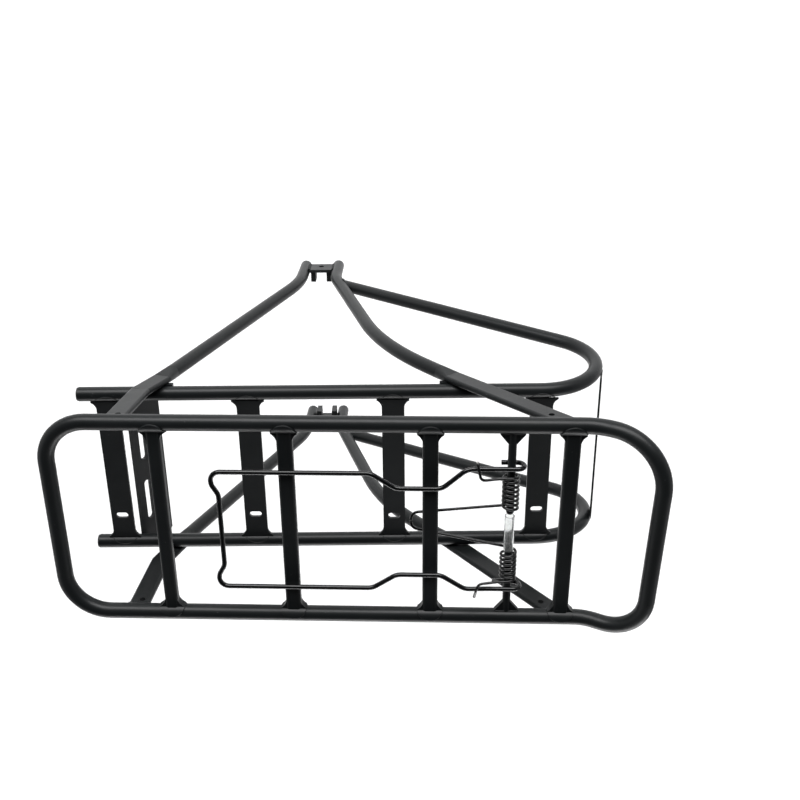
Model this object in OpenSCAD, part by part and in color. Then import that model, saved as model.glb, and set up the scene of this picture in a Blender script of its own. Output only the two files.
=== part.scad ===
// Double-deck bicycle rear rack: welded tube frame, lower battery tray, sprung wire bail.
// X forward, Y to the rider's left, Z up. Origin on the dropout bolt axis, midway between the feet.

/* [Tubes] */
// Outside diameter of the deck tube
deck_tube_d = 12; // [10:0.5:14]
// Outside diameter of the tray and leg tubes
frame_tube_d = 11.5; // [10:0.5:12.5]

/* [Deck] */
// Half distance between the two deck rails
deck_half_w = 80.5; // [76:0.5:86]
// Centreline corner radius of the deck loop
deck_corner_r = 32; // [26:1:35]
// Front bar, measured forward from the deck datum
deck_front = 248.5; // [240:0.5:256]
// Rear bar, measured back from the deck datum
deck_rear = 193; // [190:0.5:200]
// Upward kick of the tail of the deck, in degrees
kick_angle = 28; // [24:0.5:30]
// How much shorter the left rail is than the right one at the tail
tail_skew = 6; // [0:0.5:7]
// Slope of the deck against the battery tray, in degrees
deck_tilt = 2.2; // [1.6:0.1:2.8]

/* [Crossbars] */
// Width of a deck crossbar
bar_w = 11.5; // [10:0.5:13]
// Height of a deck crossbar
bar_h = 8; // [7:0.5:8]
// Width of a crossbar end where it meets the rail
bar_flare_w = 19; // [16:0.5:22]

/* [Battery tray] */
// Half distance between the two tray rails
tray_half_w = 67.4; // [65:0.2:68]
// Height of the tray rails above the dropout bolts
tray_z = 286; // [280:1:290]
// Width of a tray plate
plate_w = 18; // [15:0.5:21]
// Thickness of a tray plate
plate_t = 2.5; // [2:0.5:4]
// Width of a tray slot
slot_w = 5; // [4:0.5:6]
// Overall length of a tray slot
slot_l = 10; // [8:0.5:12]

/* [Legs] */
// Half distance between the leg tubes at the feet
foot_half_w = 84; // [80:0.5:88]
// Width of the flattened leg top
strap_w = 16; // [14:0.5:18]
// Thickness of the flattened leg top
strap_t = 5; // [4:0.5:5]
// Diameter of the hole in each flattened leg top
strap_hole_d = 4.5; // [3:0.5:5]

/* [Dropout feet] */
// Diameter of the dropout bolt hole
dropout_hole_d = 5.5; // [5:0.1:6.5]
// Height of the foot bracket
bracket_h = 22; // [20:1:26]
// Depth of the bracket prongs
prong_l = 8.5; // [8:0.5:12]

/* [Spring bail] */
// Wire diameter of the bail
bail_wire_d = 3.6; // [3:0.1:3.8]
// Half width of the bail
bail_half_w = 48.5; // [46:0.5:50]
// Sideways position of the bail on its pins
bail_slide = 4; // [2:0.5:5]
// Diameter of the hinge pins
pin_d = 6; // [5:0.1:6.2]
// Wire diameter of the torsion spring
spring_wire_d = 2.1; // [1.8:0.1:2.2]
// Distance between spring turns
spring_pitch = 3.65; // [3.4:0.05:3.8]

/* [Hidden] */
$fn = 64;
fit_gap = 0.1;
collar_l = 0.4;
tube_tie = 1.006;
wire_tie = 1.03;
swell = 0.12;
$tie = tube_tie;
deck_x = -72;
deck_z = 375;
pin_u = -88;
front_bar_u = [168, 74, -30, -129.6];
plate_x = [151, 40, -75, -193];
slot_y = [41, 41, 43.5, 38.5];
bar_skew = [0, 0, 0, -0.6];
tray_front_x = 173;
tray_bend_r = 52.5;
kick_u = -147;
kick_bend_r = 35;
right_tail_r = deck_corner_r + 7;
strap_y = tray_half_w + frame_tube_d / 2 + strap_t / 2 + 0.3;
spring_r = 5.45;
eye_r = 5.4;
bail_z = bar_h / 2 + bail_wire_d / 2 + 0.4;
eye_left = bail_slide + bail_half_w;
eye_right = -bail_half_w;
plug_bore_d = 8.4;
plug_depth = 9;
foot_x = 17;
foot_z = -15.5;
bracket_z = -9;
front_knee = [19, 83, 43];
front_neck = [103.4, strap_y, 262];
front_strap = [[108.6, strap_y, 275.6], [119.4, strap_y + 1, 303.6], [125.2, deck_half_w, 368]];
rear_knee = [-16, 83.2, 27.6];
rear_hip = [-65, 78, 211];
rear_neck = [-113, strap_y, 267];
rear_strap = [[-121.9, strap_y, 277.3], [-200, deck_half_w, 377]];
strut_end = [-23, 82, 48];
lamp_x = -246.8;
lamp_z = 250;
lamp_half_w = 68.5;
tray_corner_x = -354;

// Vector helpers
function unit(v) = v / norm(v);
function bend(p, i) = acos(unit(p[i] - p[i - 1]) * unit(p[i + 1] - p[i]));
function trim(p, r, i) = (i == 0 || i == len(p) - 1) ? 0 : r[i] * tan(bend(p, i) / 2);
function columns(x, y, z, o) = [
  [x[0], y[0], z[0], o[0]],
  [x[1], y[1], z[1], o[1]],
  [x[2], y[2], z[2], o[2]],
  [0, 0, 0, 1]];

// Extrudes a flat profile from a to b, with the profile's x axis square to the side vector
module run(a, b, side) {
  z = unit(b - a);
  x = unit(cross(side, z));
  multmatrix(columns(x, cross(z, x), z, a)) linear_extrude(norm(b - a)) children();
}

// Thin sleeve that ties two neighbouring lengths of tube or wire together
module collar(p, d, side) {
  run(p - d * collar_l / 2, p + d * collar_l / 2, side) scale($tie) children();
}

// Sweeps a profile along straight runs joined by round bends of radius r[i]
module path(p, r, side = [0, 1, 0.001]) {
  for (i = [0:len(p) - 2]) {
    d = unit(p[i + 1] - p[i]);
    a = p[i] + d * trim(p, r, i);
    b = p[i + 1] - d * trim(p, r, i + 1);
    if (norm(b - a) > 0.05) run(a, b, side) children();
  }
  if (len(p) > 2)
    for (i = [1:len(p) - 2]) {
      d = unit(p[i] - p[i - 1]);
      n = unit(cross(d, unit(p[i + 1] - p[i])));
      c = cross(n, d);
      s = p[i] - d * trim(p, r, i) + c * r[i];
      multmatrix(columns(-c, d, n, s))
        rotate_extrude(angle = bend(p, i)) translate([r[i], 0]) children();
      collar(p[i] - d * trim(p, r, i), d, side) children();
      e = unit(p[i + 1] - p[i]);
      collar(p[i] + e * trim(p, r, i), e, side) children();
    }
}

module rounded(w, h, r) {
  square([w - 2 * r, h], center = true);
  square([w, h - 2 * r], center = true);
  for (x = [-1, 1], y = [-1, 1])
    translate([x * (w / 2 - r), y * (h / 2 - r)]) circle(r);
}

module obround(l, w) {
  square([l - w, w], center = true);
  for (x = [-1, 1]) translate([x * (l - w) / 2, 0]) circle(w / 2);
}

module deck_frame() {
  translate([deck_x, 0, deck_z]) rotate([0, deck_tilt, 0]) children();
}

module both_deck_rails(d) {
  for (s = [-1, 1])
    translate([-170, s * deck_half_w, 0]) rotate([0, 90, 0]) cylinder(d = d, h = 390);
}

module both_tray_rails() {
  for (s = [-1, 1])
    translate([-260, s * tray_half_w, tray_z]) rotate([0, 90, 0])
      cylinder(d = frame_tube_d, h = 520);
}

// Flattened end that swells from w_in to w_out in a trumpet of radius r where it is welded
module flare(w_in, w_out, l, t, r) {
  linear_extrude(t, center = true)
    difference() {
      translate([0, l / 2 - 0.5]) square([w_out, l + 1], center = true);
      for (s = [-1, 1])
        translate([s * (w_in / 2 + r), 0]) circle(r);
    }
}

// Sharp corner of the kicked tail on side s, at distance back from the deck datum
function tail_corner(s, back) = [-back, s * deck_half_w, (back + kick_u) * tan(kick_angle)];

// Welded end that wraps over a rail of diameter d at distance y, above height z
module saddle(y, d, r, inset, z) {
  intersection() {
    translate([-r - 1, y, 0]) rotate([0, 90, 0]) cylinder(d = d, h = 2 * r + 2);
    translate([0, y - inset, z]) cylinder(r = r, h = d);
  }
}

// Deck
module deck_loop() {
  color("#2f3236") deck_frame() {
    y = deck_half_w;
    r = deck_corner_r;
    path([[0, y, 0], [deck_front, y, 0], [deck_front, -y, 0], [kick_u, -y, 0],
      tail_corner(-1, deck_rear), tail_corner(1, deck_rear - tail_skew), [kick_u, y, 0], [0, y, 0]],
      [0, r, r, kick_bend_r, right_tail_r, r, kick_bend_r, 0]) circle(d = deck_tube_d);
    collar([0, y, 0], [1, 0, 0], [0, 1, 0]) circle(d = deck_tube_d);
  }
}

module crossbar(i, w) {
  color("#33363a") deck_frame() difference() {
    translate([front_bar_u[i], 0, 0]) rotate(bar_skew[i]) {
      rotate([90, 0, 0]) linear_extrude(2 * deck_half_w, center = true) rounded(w, bar_h, 2.5);
      for (s = [0, 1]) mirror([0, s, 0]) {
        translate([0, deck_half_w - 14.5, 0]) flare(w - 1, bar_flare_w, 15.5, 6.4, 9);
        saddle(deck_half_w, deck_tube_d + 2, bar_flare_w / 2 + 0.6, 9.4, -3);
      }
    }
    both_deck_rails(deck_tube_d);
  }
}

module crossbar_front() { crossbar(0, bar_w - 1.5); }
module crossbar_second() { crossbar(1, bar_w); }
module crossbar_third() { crossbar(2, bar_w); }
module crossbar_rear() { crossbar(3, bar_w); }

// Hinge pins, side s = -1 right, 1 left, ending at distance e from the middle
module hinge_pin(s, e) {
  color("#303338") deck_frame() difference() {
    union() {
      translate([pin_u, s * deck_half_w, 0]) rotate([s * 90, 0, 0])
        cylinder(d = pin_d, h = deck_half_w - e - pin_d / 2);
      translate([pin_u, s * (e + pin_d / 2), 0]) sphere(d = pin_d);
      translate([pin_u, s * (deck_half_w - 6), 0]) linear_extrude(4, center = true)
        polygon([[-9, s * 4], [9, s * 4], [9, -s * 0.5], [2.9, -s * 8], [-2.9, -s * 8], [-9, -s * 0.5]]);
    }
    both_deck_rails(deck_tube_d);
  }
}

module hinge_pin_right() { hinge_pin(-1, 8.8); }
module hinge_pin_left() { hinge_pin(1, 14.1); }

module pin_sleeve() {
  color("#d9dde0", 0.6) deck_frame()
    translate([pin_u, 21.5, 0]) rotate([90, 0, 0]) difference() {
      cylinder(d = pin_d + 1.4, h = 29);
      translate([0, 0, -1]) cylinder(d = pin_d + 0.2, h = 31);
    }
}

// Wire bail with an eye round each pin
function bail_side(s, c, e, t) = [
  [pin_u + t, e, -eye_r],
  [pin_u - 9, e, -eye_r],
  [pin_u - 9, e, eye_r],
  [-74, e, eye_r],
  [-56, e, bail_z],
  [-38, c + s * (bail_half_w - 12), bail_z],
  [-5, c + s * (bail_half_w - 12), bail_z],
  [13, c + s * bail_half_w, bail_z],
  [129, c + s * bail_half_w, bail_z],
  [128, c + s * 38, bail_z],
  [123.5, c + s * 30, bail_z]];
bail_r = [0, eye_r, eye_r, 20, 12, 12, 12, 12, 7, 7, 10];
function flip(v) = [for (i = [len(v) - 1:-1:0]) v[i]];

module bail() {
  $tie = wire_tie;
  color("#1d1f22") deck_frame()
    path(concat(bail_side(1, bail_slide, eye_left, 11), flip(bail_side(-1, bail_slide, eye_right, 7))),
      concat(bail_r, flip(bail_r))) circle(d = bail_wire_d, $fn = 32);
}

// Coil of half turns from the bottom at y0, advancing towards side s
module coil(s, y0, halves) {
  step = spring_pitch / 2;
  lean = atan(step / (2 * spring_r));
  for (i = [0:halves - 1]) {
    up = i % 2 == 0 ? 1 : -1;
    chord = [0, s * step, up * 2 * spring_r];
    half_d = norm(chord) / 2;
    start = [pin_u, y0 + s * i * step, -up * spring_r];
    z = unit(chord);
    multmatrix(columns(-z, [-up, 0, 0], cross(-z, [-up, 0, 0]), start + chord / 2))
      rotate_extrude(angle = 180) translate([half_d, 0]) circle(d = spring_wire_d, $fn = 32);
    collar(start, [-up, 0, 0], [0, 1, 0]) circle(d = spring_wire_d, $fn = 32);
    collar(start + chord, [up, 0, 0], [0, 1, 0]) circle(d = spring_wire_d, $fn = 32);
  }
}

module torsion_spring() {
  $tie = wire_tie;
  in_r = -13.7;
  in_l = 22.3;
  out_r = in_r - 15 * spring_pitch / 2;
  out_l = in_l + 13 * spring_pitch / 2;
  over_z = bail_z + bail_wire_d / 2 + spring_wire_d / 2 + 0.3;
  color("#1b1d20") deck_frame() {
    coil(-1, in_r, 15);
    coil(1, in_l, 13);
    path([[pin_u, in_r, -spring_r], [-15.7, -6.2, -spring_r], [-15.7, 6.8, -spring_r],
      [pin_u, in_l, -spring_r]], [0, 6, 6, 0]) circle(d = spring_wire_d, $fn = 32);
    for (e = [[out_r, eye_right - 7.5], [out_l, eye_left + 5]])
      path([[pin_u, e[0], spring_r], [-80, e[0], spring_r + 0.6], [-66, e[0], over_z],
        [-63, e[1], over_z]],
        [0, 6, 4, 0]) circle(d = spring_wire_d, $fn = 32);
  }
}

// Legs
module leg(lower, neck, strap, radii, hole) {
  turn = unit(strap[0] - neck);
  last = len(strap) - 1;
  color("#34373b") difference() {
    union() {
      path(lower, radii) circle(d = frame_tube_d);
      hull() {
        run(neck - turn * 0.3, neck, [0, 1, 0])
          circle(d = frame_tube_d + swell, $fn = 32);
        run(strap[0], strap[0] + turn * 0.3, [0, 1, 0])
          rounded(strap_w + swell, strap_t + swell, 2.2, $fn = 16);
      }
      run(strap[0] - turn * 0.5, strap[1] + unit(strap[1] - strap[0]) * 1.1, [0, 1, 0])
        rounded(strap_w, strap_t, 2.2);
      if (last > 1)
        run(strap[1] - unit(strap[2] - strap[1]) * 1.1, strap[2], [0, 1, 0])
          rounded(strap_w - swell, strap_t - swell, 2.1);
    }
    translate([hole[0], 0, hole[1]]) rotate([-90, 0, 0]) cylinder(d = strap_hole_d, h = 120);
    deck_frame() both_deck_rails(deck_tube_d);
  }
}

module front_leg() {
  leg([[foot_x, foot_half_w, foot_z], front_knee, front_neck], front_neck,
    front_strap, [0, 130, 0], [122.6, 357]);
}

module rear_leg() {
  leg([[-foot_x, foot_half_w, foot_z], rear_knee, rear_hip, rear_neck], rear_neck,
    rear_strap, [0, 90, 250, 0], [-188.5, 365]);
}

module front_leg_left() { front_leg(); }
module front_leg_right() { mirror([0, 1, 0]) front_leg(); }
module rear_leg_left() { rear_leg(); }
module rear_leg_right() { mirror([0, 1, 0]) rear_leg(); }

// Tray rail, rear bend and strut down to the rear leg
module tray_loop() {
  color("#303337") difference() {
    path([[tray_front_x, tray_half_w, tray_z], [tray_corner_x, tray_half_w, tray_z], strut_end],
      [0, tray_bend_r, 0]) circle(d = frame_tube_d);
    translate([tray_front_x + 1, tray_half_w, tray_z]) rotate([0, -90, 0])
      cylinder(d = plug_bore_d, h = plug_depth + 1);
    run(rear_knee, rear_hip, [0, 1, 0]) circle(d = frame_tube_d);
    run(rear_knee - unit(rear_hip - rear_knee) * 40, rear_knee, [0, 1, 0]) circle(d = frame_tube_d);
  }
}

module tray_loop_left() { tray_loop(); }
module tray_loop_right() { mirror([0, 1, 0]) tray_loop(); }

module tip_plug() {
  color("#17181a") translate([tray_front_x, tray_half_w, tray_z]) rotate([0, 90, 0]) {
    translate([0, 0, -plug_depth + 0.5]) cylinder(d = plug_bore_d - fit_gap, h = plug_depth);
    cylinder(d = frame_tube_d - 1, h = 1.2);
  }
}

module tip_plug_left() { tip_plug(); }
module tip_plug_right() { mirror([0, 1, 0]) tip_plug(); }

// Tray plates with flared welded ends and one slot at each end
module tray_plate(i) {
  color("#2d3034") difference() {
    translate([plate_x[i], 0, tray_z + 2]) {
      cube([plate_w, 2 * tray_half_w, plate_t], center = true);
      for (s = [0, 1]) mirror([0, s, 0])
        translate([0, tray_half_w - 12.5, 0]) flare(plate_w, plate_w + 8, 13.5, plate_t, 6.5);
    }
    for (s = [0, 1]) mirror([0, s, 0])
      translate([plate_x[i], 0, tray_z])
        saddle(tray_half_w, frame_tube_d + 1.5, plate_w / 2 + 4, 13.4, 0.9);
    for (s = [-1, 1])
      translate([plate_x[i], s * slot_y[i], tray_z - 5])
        linear_extrude(20) obround(slot_l, slot_w);
    both_tray_rails();
  }
}

module tray_plate_1() { tray_plate(0); }
module tray_plate_2() { tray_plate(1); }
module tray_plate_3() { tray_plate(2); }
module tray_plate_4() { tray_plate(3); }

// Sloping plate hung under the front of the tray, with two long slots
module front_slot_plate() {
  plate_l = 32;
  half_y = tray_half_w + 1;
  color("#26282b") difference() {
    translate([138, 4, tray_z - 3]) rotate([0, 125, 0])
      translate([0, 0, -1.25]) linear_extrude(2.5) difference() {
        polygon([[0, -half_y], [plate_l - 2, -half_y], [plate_l, -half_y + 2],
          [plate_l, half_y - 2], [plate_l - 2, half_y], [0, half_y]]);
        for (y = [-26, 29.5])
          translate([10.5, y]) rotate(90) obround(36, 6);
      }
    both_tray_rails();
  }
}

// Upright plate across the rear bends for a lamp
module rear_light_plate() {
  color("#26282b") difference() {
    translate([lamp_x, 0, lamp_z]) rotate([0, 13, 0]) translate([-0.8, 0, 0]) rotate([0, 90, 0])
      linear_extrude(1.6) difference() {
        rounded(18, 2 * lamp_half_w, 6);
        for (s = [-1, 1]) {
          translate([0, s * 25]) circle(d = 5.5);
          translate([0, s * 40]) circle(d = 5.5);
        }
      }
    for (s = [0, 1]) mirror([0, s, 0])
      path([[0, tray_half_w, tray_z], [tray_corner_x, tray_half_w, tray_z], strut_end],
        [0, tray_bend_r, 0]) circle(d = frame_tube_d);
  }
}

// Blocks welded between each leg and the tray rail
module spacer(x, z, l) {
  color("#26282b") difference() {
    translate([x, tray_half_w + 2.9, z]) cube([l, 7.8, 4], center = true);
    both_tray_rails();
    children();
  }
}

module front_spacer() {
  spacer(106, tray_z - 3.5, 14) front_leg();
}

module rear_spacer() {
  spacer(-120, tray_z - 3.5, 16) rear_leg();
}

module front_spacer_left() { front_spacer(); }
module front_spacer_right() { mirror([0, 1, 0]) front_spacer(); }
module rear_spacer_left() { rear_spacer(); }
module rear_spacer_right() { mirror([0, 1, 0]) rear_spacer(); }

// Dropout bracket: bolted web outside, two prongs reaching inwards past the dropout
module foot_bracket() {
  half_w = foot_x - frame_tube_d / 2 + 1.2;
  web_y = foot_half_w + 2;
  color("#2f3236") difference() {
    union() {
      translate([-half_w, web_y - 1.5, bracket_z]) cube([2 * half_w, 3, bracket_h]);
      for (s = [-1, 1])
        translate([s * (half_w - 4.4) - 2.5, web_y - 1.5 - prong_l - 2, bracket_z + 3])
          cube([5, prong_l + 3, bracket_h - 6]);
    }
    rotate([-90, 0, 0]) cylinder(d = dropout_hole_d, h = 120);
    for (s = [-1, 1])
      translate([s * foot_x, foot_half_w, foot_z - 5]) cylinder(d = frame_tube_d, h = 1);
    path([[foot_x, foot_half_w, foot_z], front_knee, front_neck], [0, 130, 0])
      circle(d = frame_tube_d);
    path([[-foot_x, foot_half_w, foot_z], rear_knee, rear_hip], [0, 90, 0])
      circle(d = frame_tube_d);
  }
}

module foot_bracket_left() { foot_bracket(); }
module foot_bracket_right() { mirror([0, 1, 0]) foot_bracket(); }

deck_loop();
crossbar_front();
crossbar_second();
crossbar_third();
crossbar_rear();
hinge_pin_right();
hinge_pin_left();
pin_sleeve();
bail();
torsion_spring();
front_leg_left();
front_leg_right();
rear_leg_left();
rear_leg_right();
tray_loop_left();
tray_loop_right();
tip_plug_left();
tip_plug_right();
tray_plate_1();
tray_plate_2();
tray_plate_3();
tray_plate_4();
front_slot_plate();
rear_light_plate();
front_spacer_left();
front_spacer_right();
rear_spacer_left();
rear_spacer_right();
foot_bracket_left();
foot_bracket_right();
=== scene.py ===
"""Bicycle rear rack: finishes, weld beads, spring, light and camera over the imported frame."""
import math
import random

import bpy
from mathutils import Matrix, Vector


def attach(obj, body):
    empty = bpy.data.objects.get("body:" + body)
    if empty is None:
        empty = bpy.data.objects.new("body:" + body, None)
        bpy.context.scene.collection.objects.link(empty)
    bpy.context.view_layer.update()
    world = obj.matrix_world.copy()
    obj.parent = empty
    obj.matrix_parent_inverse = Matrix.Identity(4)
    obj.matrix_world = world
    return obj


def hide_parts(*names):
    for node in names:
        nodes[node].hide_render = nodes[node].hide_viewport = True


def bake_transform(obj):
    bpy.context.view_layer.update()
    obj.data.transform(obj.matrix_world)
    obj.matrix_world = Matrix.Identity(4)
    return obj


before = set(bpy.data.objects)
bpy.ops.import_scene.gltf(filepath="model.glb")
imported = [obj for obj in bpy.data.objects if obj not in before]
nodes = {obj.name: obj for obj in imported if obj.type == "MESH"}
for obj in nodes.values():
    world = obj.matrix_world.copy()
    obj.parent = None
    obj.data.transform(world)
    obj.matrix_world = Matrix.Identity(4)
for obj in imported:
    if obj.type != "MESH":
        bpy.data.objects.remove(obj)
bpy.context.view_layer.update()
random.seed(7)

MM = 0.001
# deck datum and slope, as in the part's source
DECK_X, DECK_Z, DECK_TILT = -72.0, 375.0, math.radians(2.2)
DECK_HALF_W, DECK_R = 80.5, 6.0
TRAY_HALF_W, TRAY_Z, TUBE_R = 67.4, 286.0, 5.75
PIN_U = -88.0
# each crossbar's place along the deck, and how far its skew moves an end
BARS = ((168.0, 0.0), (74.0, 0.0), (-30.0, 0.0), (-129.6, 0.8))
PLATES_X = (151.0, 40.0, -75.0, -193.0)
# flattened ends: flare radius, its centre's distance inside the rail's axis, lowest height
BAR_SADDLE_R, BAR_SADDLE_INSET, BAR_SADDLE_LOW = 10.1, 9.4, -3.0
PLATE_SADDLE_R, PLATE_SADDLE_INSET, PLATE_SADDLE_LOW = 13.0, 13.4, 0.9
# centrelines of the left strut and of the left rear leg that it meets
STRUT = ((-354, TRAY_HALF_W, TRAY_Z), (-23, 82, 48))
REAR_LEG = ((-16, 83.2, 27.6), (-65, 78, 211))
# leg straps on the deck rails: place along the deck and half the length of a bead
STRAPS = ((196.8, 8.0), (-125.3, 10.0))
STRAP_FACES_Y, STRAP_BEAD_H = (77.7, 83.3), -5.5
# seams between a foot bracket and its two leg tubes
FOOT_SEAMS_X, FOOT_SEAM_Y, FOOT_SEAM_Z = (-11.9, 11.9), 87.4, (-8, -2, 5, 12)
# torsion spring, in the deck's frame
SPRING_R, SPRING_PITCH, WIRE_R = 5.45, 3.65, 1.05
ARM_FRONT_U, ARM_MIDDLE_Y, ARM_CORNER_Y = -15.7, 0.6, {-1: -6.2, 1: 6.8}
TAIL_KNEE_U, TAIL_KNEE_RISE = -80, 0.6
TAIL_BEND_U, TAIL_TIP_U, TAIL_H = -66, -63, 9.35
# cut ends of the bail, past the eyes round the pins
BAIL_R, EYE_H = 1.8, -5.4
EYE_ENDS = ((PIN_U + 7, -48.5, "right"), (PIN_U + 11, 52.5, "left"))


def row(x, y, z):
    """Millimetres in the row frame to metres."""
    return Vector((x, y, z)) * MM


def deck(u, y, z):
    """Millimetres from the deck datum, u forward, to metres in the row frame."""
    c, s = math.cos(DECK_TILT), math.sin(DECK_TILT)
    return row(DECK_X + u * c + z * s, y, DECK_Z - u * s + z * c)


# ---------------------------------------------------------------- finishes
def node_tree(name):
    mat = bpy.data.materials.new(name)
    mat.use_nodes = True
    tree = mat.node_tree
    return mat, tree, tree.nodes["Principled BSDF"]


def noise(tree, scale, detail=3.0, rough=0.5):
    coord = tree.nodes.new("ShaderNodeTexCoord")
    tex = tree.nodes.new("ShaderNodeTexNoise")
    tex.inputs["Scale"].default_value = scale
    tex.inputs["Detail"].default_value = detail
    tex.inputs["Roughness"].default_value = rough
    tree.links.new(coord.outputs["Object"], tex.inputs["Vector"])
    return tex.outputs["Fac"]


def ramp(tree, source, stops):
    node = tree.nodes.new("ShaderNodeValToRGB")
    bar = node.color_ramp
    while len(bar.elements) < len(stops):
        bar.elements.new(0.5)
    for element, (pos, rgb) in zip(bar.elements, stops):
        element.position = pos
        element.color = (*rgb, 1.0)
    tree.links.new(source, node.inputs["Fac"])
    return node.outputs["Color"]


def remap(tree, source, low, high):
    node = tree.nodes.new("ShaderNodeMapRange")
    node.inputs["To Min"].default_value = low
    node.inputs["To Max"].default_value = high
    tree.links.new(source, node.inputs["Value"])
    return node.outputs["Result"]


def bump(tree, shader, layers):
    """Stacks (height, strength, distance) layers on the shader's normal."""
    last = None
    for height, strength, distance in layers:
        node = tree.nodes.new("ShaderNodeBump")
        node.inputs["Strength"].default_value = strength
        node.inputs["Distance"].default_value = distance
        tree.links.new(height, node.inputs["Height"])
        if last:
            tree.links.new(last, node.inputs["Normal"])
        last = node.outputs["Normal"]
    tree.links.new(last, shader.inputs["Normal"])


def paint(name, dark, light, rough_low, rough_high, grain, grain_depth, specular):
    """Powder coat: fine grain, slow shade drift, rubbed patches and sparse pale specks."""
    mat, tree, shader = node_tree(name)
    drift = noise(tree, 22.0, 4.0)
    base = ramp(tree, drift, [(0.3, dark), (0.75, light)])
    specks = ramp(tree, noise(tree, 650.0, 2.0), [(0.74, (0, 0, 0)), (0.79, (1, 1, 1))])
    mix = tree.nodes.new("ShaderNodeMix")
    mix.data_type = "RGBA"
    tree.links.new(specks, mix.inputs["Factor"])
    tree.links.new(base, mix.inputs["A"])
    mix.inputs["B"].default_value = (0.05, 0.05, 0.052, 1.0)
    tree.links.new(mix.outputs["Result"], shader.inputs["Base Color"])
    rubbed = remap(tree, noise(tree, 60.0, 6.0, 0.65), rough_low, rough_high)
    tree.links.new(rubbed, shader.inputs["Roughness"])
    shader.inputs["Specular IOR Level"].default_value = specular
    bump(tree, shader, [
        (noise(tree, grain, 2.0), 0.35, grain_depth),
        (noise(tree, grain * 0.18, 2.0), 0.25, grain_depth * 2.5),
    ])
    return mat


def steel_end(name):
    mat, tree, shader = node_tree(name)
    streaks = noise(tree, 900.0, 5.0)
    tone = ramp(tree, streaks, [(0.3, (0.22, 0.21, 0.2)), (0.7, (0.5, 0.49, 0.47))])
    tree.links.new(tone, shader.inputs["Base Color"])
    shader.inputs["Metallic"].default_value = 1.0
    tree.links.new(remap(tree, noise(tree, 700.0), 0.35, 0.6), shader.inputs["Roughness"])
    bump(tree, shader, [(noise(tree, 1600.0), 0.4, 0.00008)])
    return mat


def clear_sleeve(name):
    mat, tree, shader = node_tree(name)
    haze = noise(tree, 240.0, 4.0)
    tone = ramp(tree, haze, [(0.3, (0.86, 0.87, 0.86)), (0.8, (0.97, 0.98, 0.98))])
    tree.links.new(tone, shader.inputs["Base Color"])
    tree.links.new(remap(tree, haze, 0.03, 0.12), shader.inputs["Roughness"])
    shader.inputs["Transmission Weight"].default_value = 0.95
    shader.inputs["IOR"].default_value = 1.33
    bump(tree, shader, [(noise(tree, 420.0), 0.25, 0.0001)])
    return mat


FRAME_PAINT = paint("satin_black_powder_coat", (0.0042, 0.0049, 0.0052), (0.0064, 0.0073, 0.0077),
                    rough_low=0.32, rough_high=0.44, grain=1500.0, grain_depth=0.00006,
                    specular=0.17)
PLATE_PAINT = paint("satin_black_sheet", (0.0036, 0.0042, 0.0045), (0.0055, 0.0063, 0.0067),
                    rough_low=0.4, rough_high=0.56, grain=1300.0, grain_depth=0.00007,
                    specular=0.32)
WIRE_PAINT = paint("gloss_black_wire", (0.0012, 0.0013, 0.0014), (0.0022, 0.0024, 0.0026),
                   rough_low=0.13, rough_high=0.24, grain=2200.0, grain_depth=0.00003,
                   specular=0.3)
PLUG_PLASTIC = paint("black_plug", (0.006, 0.006, 0.006), (0.012, 0.012, 0.012),
                     rough_low=0.5, rough_high=0.7, grain=1800.0, grain_depth=0.00008,
                     specular=0.3)
BARE_STEEL = steel_end("cut_wire_end")
CLEAR = clear_sleeve("clear_sleeve")

PLATE_NODES = ("tray_plate", "front_slot_plate", "rear_light_plate", "foot_bracket")
for name, obj in nodes.items():
    if name.startswith("tip_plug"):
        finish_mat = PLUG_PLASTIC
    elif name == "pin_sleeve":
        finish_mat = CLEAR
    elif name in ("bail", "torsion_spring"):
        finish_mat = WIRE_PAINT
    elif name.startswith(PLATE_NODES):
        finish_mat = PLATE_PAINT
    else:
        finish_mat = FRAME_PAINT
    obj.data.materials.clear()
    obj.data.materials.append(finish_mat)


# ---------------------------------------------------------------- swept wire and weld beads
def sweep_rings(points, radii, closed, sides):
    """Rings of a tube along points, turned as little as possible from one to the next."""
    count = len(points)
    rings, normal = [], None
    for i, p in enumerate(points):
        ahead = points[(i + 1) % count] if closed or i < count - 1 else p
        behind = points[i - 1] if closed or i > 0 else p
        tangent = (ahead - behind).normalized()
        if normal is None:
            normal = tangent.orthogonal().normalized()
        normal = (normal - tangent * normal.dot(tangent)).normalized()
        side = tangent.cross(normal)
        rings.append([p + (normal * math.cos(t) + side * math.sin(t)) * radii[i]
                      for t in (2 * math.pi * k / sides for k in range(sides))])
    return rings


def add_tube(verts, faces, points, radii, sides, closed=False):
    """Adds a tube along points, with flat caps unless it is closed."""
    base = len(verts)
    rings = sweep_rings(points, radii, closed, sides)
    for ring in rings:
        verts.extend(ring)
    spans = len(rings) if closed else len(rings) - 1
    for i in range(spans):
        a, b = base + i * sides, base + ((i + 1) % len(rings)) * sides
        for k in range(sides):
            n = (k + 1) % sides
            faces.append((a + k, a + n, b + n, b + k))
    if not closed:
        faces.append(tuple(base + k for k in reversed(range(sides))))
        faces.append(tuple(base + (len(rings) - 1) * sides + k for k in range(sides)))


def make_piece(name, verts, faces, mat):
    """A visual piece, smooth on its quads and flat on its caps."""
    mesh = bpy.data.meshes.new(name)
    mesh.from_pydata([tuple(v) for v in verts], [], faces)
    mesh.validate()
    mesh.update()
    for poly in mesh.polygons:
        poly.use_smooth = len(poly.vertices) == 4
    mesh.materials.append(mat)
    obj = bpy.data.objects.new(name, mesh)
    bpy.context.scene.collection.objects.link(obj)
    return obj


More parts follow.
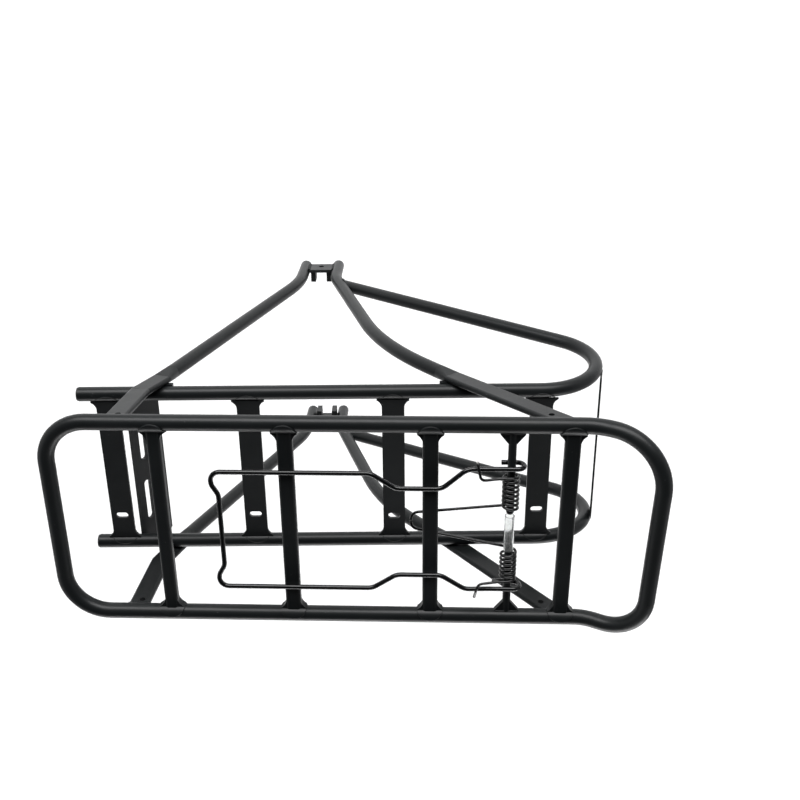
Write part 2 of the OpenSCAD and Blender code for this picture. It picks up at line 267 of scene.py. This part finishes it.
def resample(points, step, closed=False):
    """Even spacing along a polyline."""
    pts = points + [points[0]] if closed else points
    out, left = [pts[0].copy()], step
    for a, b in zip(pts, pts[1:]):
        length = (b - a).length
        at = left
        while at < length:
            out.append(a.lerp(b, at / length))
            at += step
        left = at - length
    if not closed and (out[-1] - pts[-1]).length > step * 0.3:
        out.append(pts[-1].copy())
    return out


BEAD_STEP, BEAD_SIDES = 0.00035, 10


def bead(verts, faces, points, radius, closed=False):
    """A weld bead with the overlapping ripples of a hand-fed weld."""
    pts = resample(points, BEAD_STEP, closed)
    phase = random.random() * 6.0
    radii = [radius * (1.0 + 0.13 * math.sin(i * 1.9 + phase) + 0.08 * math.sin(i * 0.37 + phase))
             for i in range(len(pts))]
    add_tube(verts, faces, pts, radii, BEAD_SIDES, closed)


def deck_rail(side, u, h):
    """Point on the inner face of a deck rail, h above its axis."""
    return deck(u, side * (DECK_HALF_W - math.sqrt(DECK_R ** 2 - h * h)), h)


def short_run(half):
    """Places along a straight bead, from -half to half."""
    return (-half, -3, 3, half)


def saddle_edge(along, half_w, rail_r, radius, inset, low, place):
    """Outline of a flattened end wrapped over a rail, from one side over the top to the other."""
    out = []
    centre = half_w - inset
    rail_y = half_w - math.sqrt(rail_r ** 2 - max(low, 0) ** 2)
    first = math.asin(max(-1.0, min(1.0, (rail_y - centre) / radius)))
    turns = 40
    for k in range(turns + 1):
        t = first + (math.pi - 2 * first) * k / turns
        y = centre + radius * math.sin(t)
        h = math.sqrt(max(rail_r ** 2 - (y - half_w) ** 2, 0.0))
        out.append(place(along + radius * math.cos(t), y, h))
    if low < 0:
        y = half_w - math.sqrt(rail_r ** 2 - low * low)
        x = radius * math.cos(first)
        out.insert(0, place(along + x, y, low))
        out.append(place(along - x, y, low))
    return out


def strut_outline(side):
    """Where the strut's surface meets the rear leg."""
    a, b = Vector(STRUT[0]), Vector(STRUT[1])
    p, q = Vector(REAR_LEG[0]), Vector(REAR_LEG[1])
    d, axis = (b - a).normalized(), (q - p).normalized()
    n1 = d.orthogonal().normalized()
    n2 = d.cross(n1)
    out = []
    points = 40
    for k in range(points):
        t = 2 * math.pi * k / points
        o = a + (n1 * math.cos(t) + n2 * math.sin(t)) * TUBE_R - p
        o_perp, d_perp = o - axis * o.dot(axis), d - axis * d.dot(axis)
        qa, qb = d_perp.dot(d_perp), 2 * o_perp.dot(d_perp)
        qc = o_perp.dot(o_perp) - TUBE_R ** 2
        root = max(qb * qb - 4 * qa * qc, 0.0)
        s = (-qb - math.sqrt(root)) / (2 * qa)
        hit = o + d * s + p
        out.append(row(hit.x, side * hit.y, hit.z))
    return out


def deck_beads():
    """Beads round the crossbar ends, under them, and above and below the hinge pins' roots."""
    verts, faces = [], []
    for side in (-1, 1):
        for bar_u, shift in BARS:
            u = bar_u + shift * side
            edge = saddle_edge(u, DECK_HALF_W, DECK_R, BAR_SADDLE_R, BAR_SADDLE_INSET,
                               BAR_SADDLE_LOW, lambda x, y, h: deck(x, side * y, h))
            bead(verts, faces, edge, 0.00055)
            bead(verts, faces, [deck_rail(side, u + a, -3.4) for a in short_run(8.5)], 0.0009)
        for h in (2.1, -2.1):
            bead(verts, faces, [deck_rail(side, PIN_U + a, h) for a in short_run(8.6)], 0.0008)
    return make_piece("weld_beads_deck", verts, faces, FRAME_PAINT)


def tray_beads():
    """Beads round the ends of the tray plates."""
    verts, faces = [], []
    for side in (-1, 1):
        for x in PLATES_X:
            edge = saddle_edge(x, TRAY_HALF_W, TUBE_R, PLATE_SADDLE_R, PLATE_SADDLE_INSET,
                               PLATE_SADDLE_LOW, lambda u, y, h: row(u, side * y, TRAY_Z + h))
            bead(verts, faces, edge, 0.0003)
    return make_piece("weld_beads_tray", verts, faces, FRAME_PAINT)


def leg_beads():
    """Beads round the struts, beside the straps and down the foot brackets."""
    radius = 0.0010
    verts, faces = [], []
    for side in (-1, 1):
        bead(verts, faces, strut_outline(side), radius, closed=True)
        for u, half in STRAPS:
            for y in STRAP_FACES_Y:
                line = [deck(u + a, side * y, STRAP_BEAD_H) for a in short_run(half)]
                bead(verts, faces, line, radius)
        for x in FOOT_SEAMS_X:
            bead(verts, faces, [row(x, side * FOOT_SEAM_Y, z) for z in FOOT_SEAM_Z], radius)
    return make_piece("weld_beads_legs", verts, faces, FRAME_PAINT)


for obj in (deck_beads(), tray_beads(), leg_beads()):
    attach(obj, "rack")


# ---------------------------------------------------------------- torsion spring
def fillet(points, radii, step_deg=8):
    """Rounds the corners of a polyline."""
    out = [points[0]]
    for i in range(1, len(points) - 1):
        a, p, b = points[i - 1], points[i], points[i + 1]
        d1, d2 = (p - a).normalized(), (b - p).normalized()
        ang = d1.angle(d2)
        if ang < 1e-4 or radii[i] == 0:
            out.append(p)
            continue
        trim = radii[i] * math.tan(ang / 2)
        axis = d1.cross(d2).normalized()
        centre = p - d1 * trim + axis.cross(d1) * radii[i]
        arm = p - d1 * trim - centre
        n = max(2, int(math.degrees(ang) / step_deg))
        for k in range(n + 1):
            out.append(centre + Matrix.Rotation(ang * k / n, 3, axis) @ arm)
    out.append(points[-1])
    return out


def spring_half(name, side, y_in, half_turns, tip_y):
    """U arm, coil and tail of one side of the double torsion spring."""
    arm = [Vector((ARM_FRONT_U, ARM_MIDDLE_Y, -SPRING_R)),
           Vector((ARM_FRONT_U, ARM_CORNER_Y[side], -SPRING_R)),
           Vector((PIN_U, y_in, -SPRING_R))]
    line = fillet(arm, [0, 6, 0])
    per_half_turn = 24
    for k in range(1, half_turns * per_half_turn + 1):
        t = math.pi * k / per_half_turn
        y = y_in + side * SPRING_PITCH * t / (2 * math.pi)
        line.append(Vector((PIN_U - SPRING_R * math.sin(t), y, -SPRING_R * math.cos(t))))
    y_out = line[-1].y
    tail = [Vector((PIN_U, y_out, SPRING_R)),
            Vector((TAIL_KNEE_U, y_out, SPRING_R + TAIL_KNEE_RISE)),
            Vector((TAIL_BEND_U, y_out, TAIL_H)),
            Vector((TAIL_TIP_U, tip_y, TAIL_H))]
    line += fillet(tail, [0, 6, 4, 0])[1:]
    world = [deck(p.x, p.y, p.z) for p in line]
    v, f = [], []
    add_tube(v, f, world, [WIRE_R * MM] * len(world), sides=14)
    obj = make_piece(name, v, f, WIRE_PAINT)
    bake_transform(obj)
    return obj, world


right_half, right_line = spring_half("spring_right", -1, y_in=-13.7, half_turns=15, tip_y=-56.0)
_, left_line = spring_half("spring_left", 1, y_in=22.3, half_turns=13, tip_y=57.5)
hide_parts("torsion_spring")


# ---------------------------------------------------------------- bare cut ends
def cut_end(name, centre, direction, radius, body):
    """Sheared wire end: a slightly domed disc with a burr."""
    v, f = [], []
    # scale of the wire's radius, and lift off the end in metres
    rings = ((0.96, 0.00003), (0.93, 0.00012), (0.6, 0.00014), (0.25, 0.0001))
    d = direction.normalized()
    n1 = d.orthogonal().normalized()
    n2 = d.cross(n1)
    sides = 20
    for scale, lift in rings:
        for k in range(sides):
            t = 2 * math.pi * k / sides
            wobble = 1.0 + 0.02 * math.sin(3 * t + radius * 9000)
            spoke = (n1 * math.cos(t) + n2 * math.sin(t)) * radius * scale * wobble
            v.append(centre + spoke + d * lift)
    for i in range(len(rings) - 1):
        for k in range(sides):
            n = (k + 1) % sides
            a, b = i * sides, (i + 1) * sides
            f.append((a + k, a + n, b + n, b + k))
    f.append(tuple((len(rings) - 1) * sides + k for k in range(sides)))
    obj = make_piece(name, v, f, BARE_STEEL)
    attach(obj, body)


for eye_u, eye_y, label in EYE_ENDS:
    end = deck(eye_u, eye_y, EYE_H)
    cut_end("bail_end_" + label, end, deck(1, 0, 0) - deck(0, 0, 0), BAIL_R * MM, "bail")
for line, label in ((right_line, "right"), (left_line, "left")):
    cut_end("tail_end_" + label, line[-1], line[-1] - line[-2], WIRE_R * MM, "bail")


# ---------------------------------------------------------------- stage, light and camera
def backdrop():
    mat, tree, shader = node_tree("studio_floor")
    tone = ramp(tree, noise(tree, 3.0), [(0.2, (0.95, 0.95, 0.95)), (0.8, (0.97, 0.97, 0.97))])
    tree.links.new(tone, shader.inputs["Base Color"])
    shader.inputs["Roughness"].default_value = 0.9
    shader.inputs["Specular IOR Level"].default_value = 0.1
    size, z = 14.0, -0.34
    v = [Vector((x, y, z)) for x, y in ((-size, -size), (size, -size), (size, size), (-size, size))]
    floor = make_piece("floor", v, [(0, 1, 2, 3)], mat)


def sky():
    """White studio walls that darken overhead, where the camera looks down from."""
    world = bpy.data.worlds.new("studio")
    bpy.context.scene.world = world
    world.use_nodes = True
    tree = world.node_tree
    coord = tree.nodes.new("ShaderNodeTexCoord")
    split = tree.nodes.new("ShaderNodeSeparateXYZ")
    tree.links.new(coord.outputs["Generated"], split.inputs["Vector"])
    tone = ramp(tree, split.outputs["Z"], [(0.0, (1.0, 1.0, 1.0)), (0.3, (0.45, 0.46, 0.48)),
                                           (0.62, (0.012, 0.012, 0.013))])
    tree.links.new(tone, tree.nodes["Background"].inputs["Color"])
    tree.nodes["Background"].inputs["Strength"].default_value = 1.0


def softbox(name, at, target, width, height, watts):
    light = bpy.data.lights.new(name, "AREA")
    light.shape = "RECTANGLE"
    light.size, light.size_y, light.energy = width, height, watts
    obj = bpy.data.objects.new(name, light)
    obj.location = at
    obj.rotation_mode = "QUATERNION"
    obj.rotation_quaternion = (Vector(target) - Vector(at)).to_track_quat("-Z", "Y")
    bpy.context.scene.collection.objects.link(obj)


def camera():
    data = bpy.data.cameras.new("camera")
    data.lens, data.sensor_width = 45.0, 36.0
    obj = bpy.data.objects.new("camera", data)
    right = Vector((-1.0, 0.0076, 0.0039))
    look = Vector((-0.0006, 0.4020, -0.9156)).normalized()
    right = (right - look * right.dot(look)).normalized()
    up = right.cross(look)
    pose = Matrix((right, up, -look)).transposed().to_4x4()
    pose.translation = (-0.0801, -0.3790, 1.0126)
    obj.matrix_world = pose
    bpy.context.scene.collection.objects.link(obj)
    bpy.context.scene.camera = obj


backdrop()
sky()
softbox("key", (0.1, -1.9, 1.1), (0, 0, 0.25), 2.6, 1.0, 72.0)
softbox("fill", (-0.2, 1.9, 0.5), (0, 0, 0.25), 2.2, 0.8, 26.0)
camera()
bpy.context.scene.view_settings.view_transform = "Standard"
bpy.context.scene.view_settings.exposure = 0.55
